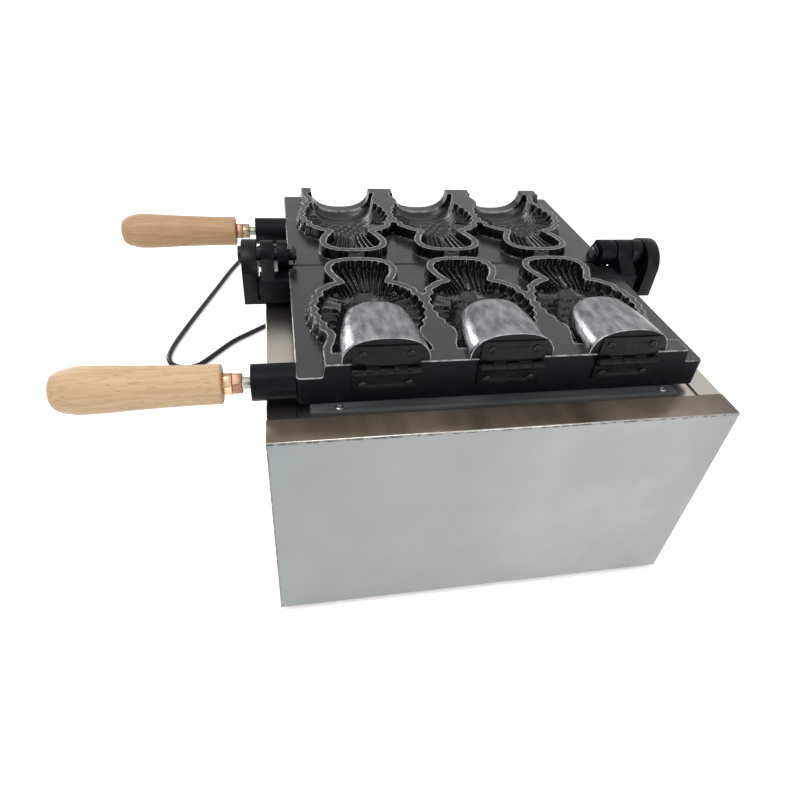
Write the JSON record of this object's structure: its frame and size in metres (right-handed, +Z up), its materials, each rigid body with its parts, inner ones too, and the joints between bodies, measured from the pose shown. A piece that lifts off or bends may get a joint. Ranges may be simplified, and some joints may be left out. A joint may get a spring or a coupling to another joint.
{
  "type": "taiyaki maker",
  "caption": "Electric countertop mould for open-mouth fish cakes: steel cabinet, hinged cast plates with wooden handles, swinging mouth cores and side controls.",
  "frame": {"origin": "on the table under the middle of the machine's bounding box, cord left out", "axes": "+X along the hinge line to the right, away from the handles; +Y from the mouth cores towards the back; +Z up"},
  "size_m": [0.4993, 0.715, 0.2445],
  "materials": {
    "film_covered_steel": "stainless sheet under its pale protective film",
    "polished_steel": "polished stainless sheet",
    "steel_bar": "satin steel bar",
    "zinc_steel": "zinc-plated steel",
    "blackened_steel": "black oxide, oiled",
    "mould_coating": "cast aluminium with a dark non-stick coating",
    "polished_aluminium": "polished cast aluminium",
    "brass_nuts": "yellow zinc-plated nuts",
    "beech": "turned and sanded beech",
    "black_rubber": "matt rubber",
    "black_plastic": "moulded",
    "red_plastic": "moulded, gloss",
    "amber_lens": "clear amber lens",
    "heater_sheath": "heat-tinted sheath",
    "ceramic_block": "unglazed ceramic",
    "cord_jacket": "smooth cable jacket"
  },
  "bodies": {
    "cabinet": {"front_panel": "film_covered_steel", "left_side_panel": "polished_steel", "right_side_panel": "polished_steel", "rear_panel": "polished_steel", "base_plate": "zinc_steel", "rubber_feet": "black_rubber", "top_frame": "polished_steel", "front_rest_bar": "steel_bar", "rear_rest_bar": "steel_bar", "rest_bar_screws": "zinc_steel", "left_hinge_bracket": "blackened_steel", "right_hinge_bracket": "blackened_steel", "bracket_screws": "zinc_steel", "left_hinge_pin": "zinc_steel", "right_hinge_pin": "zinc_steel", "hinge_spacer": "blackened_steel", "heater_tray": "polished_steel", "front_heater": "heater_sheath", "rear_heater": "heater_sheath", "heater_saddles": "zinc_steel", "front_thermostat": "black_plastic", "rear_thermostat": "black_plastic", "timer_drive": "zinc_steel", "switch_frame": "black_plastic", "pilot_lamps": "amber_lens", "terminal_block": "ceramic_block", "cord_gland": "black_rubber", "mains_cord": "cord_jacket", "cord_coil": "cord_jacket", "cord_tail": "cord_jacket", "mains_plug": "black_plastic"},
    "lower_plate": {"front_plate": "mould_coating", "front_handle_stud": "zinc_steel", "front_handle_nuts": "brass_nuts", "front_handle_grip": "beech", "left_plate_leaf": "blackened_steel", "middle_plate_leaf": "blackened_steel", "right_plate_leaf": "blackened_steel", "left_leaf_pin": "blackened_steel", "middle_leaf_pin": "blackened_steel", "right_leaf_pin": "blackened_steel", "plate_leaf_screws": "blackened_steel"},
    "upper_plate": {"rear_plate": "mould_coating", "rear_handle_stud": "zinc_steel", "rear_handle_nuts": "brass_nuts", "rear_handle_grip": "beech"},
    "left_mouth_core": {"left_core": "polished_aluminium", "left_core_leaf": "blackened_steel", "core_leaf_screws_left": "blackened_steel"},
    "middle_mouth_core": {"middle_core": "polished_aluminium", "middle_core_leaf": "blackened_steel", "core_leaf_screws_middle": "blackened_steel"},
    "right_mouth_core": {"right_core": "polished_aluminium", "right_core_leaf": "blackened_steel", "core_leaf_screws_right": "blackened_steel"},
    "front_heat_dial": {"front_heat_knob": "black_plastic"},
    "rear_heat_dial": {"rear_heat_knob": "black_plastic"},
    "timer_dial": {"timer_knob": "black_plastic"},
    "power_rocker": {"switch_rocker": "red_plastic"}
  },
  "joints": [
    {"name": "upper_plate_hinge", "type": "hinge", "parent": "cabinet", "child": "upper_plate", "pos_m": [0.0545, 0.0165, 0.225], "axis": [1, 0, 0], "range_deg": [0, 180]},
    {"name": "lower_plate_hinge", "type": "hinge", "parent": "cabinet", "child": "lower_plate", "pos_m": [0.0545, 0.0165, 0.225], "axis": [1, 0, 0], "range_deg": [-180, 0]},
    {"name": "left_core_hinge", "type": "hinge", "parent": "lower_plate", "child": "left_mouth_core", "pos_m": [-0.0355, -0.1496, 0.22], "axis": [1, 0, 0], "range_deg": [0, 180]},
    {"name": "middle_core_hinge", "type": "hinge", "parent": "lower_plate", "child": "middle_mouth_core", "pos_m": [0.0515, -0.1496, 0.22], "axis": [1, 0, 0], "range_deg": [0, 180]},
    {"name": "right_core_hinge", "type": "hinge", "parent": "lower_plate", "child": "right_mouth_core", "pos_m": [0.1385, -0.1496, 0.22], "axis": [1, 0, 0], "range_deg": [0, 180]},
    {"name": "front_heat_dial_turn", "type": "hinge", "parent": "cabinet", "child": "front_heat_dial", "pos_m": [0.2295, -0.0945, 0.105], "axis": [-1, 0, 0], "range_deg": [0, 270]},
    {"name": "timer_dial_turn", "type": "hinge", "parent": "cabinet", "child": "timer_dial", "pos_m": [0.2295, -0.0005, 0.105], "axis": [-1, 0, 0], "range_deg": [0, 300]},
    {"name": "rear_heat_dial_turn", "type": "hinge", "parent": "cabinet", "child": "rear_heat_dial", "pos_m": [0.2295, 0.0935, 0.105], "axis": [-1, 0, 0], "range_deg": [0, 270]},
    {"name": "power_rocker_tilt", "type": "hinge", "parent": "cabinet", "child": "power_rocker", "pos_m": [0.2205, -0.0005, 0.052], "axis": [0, 0, 1], "range_deg": [0, 18]}
  ]
}
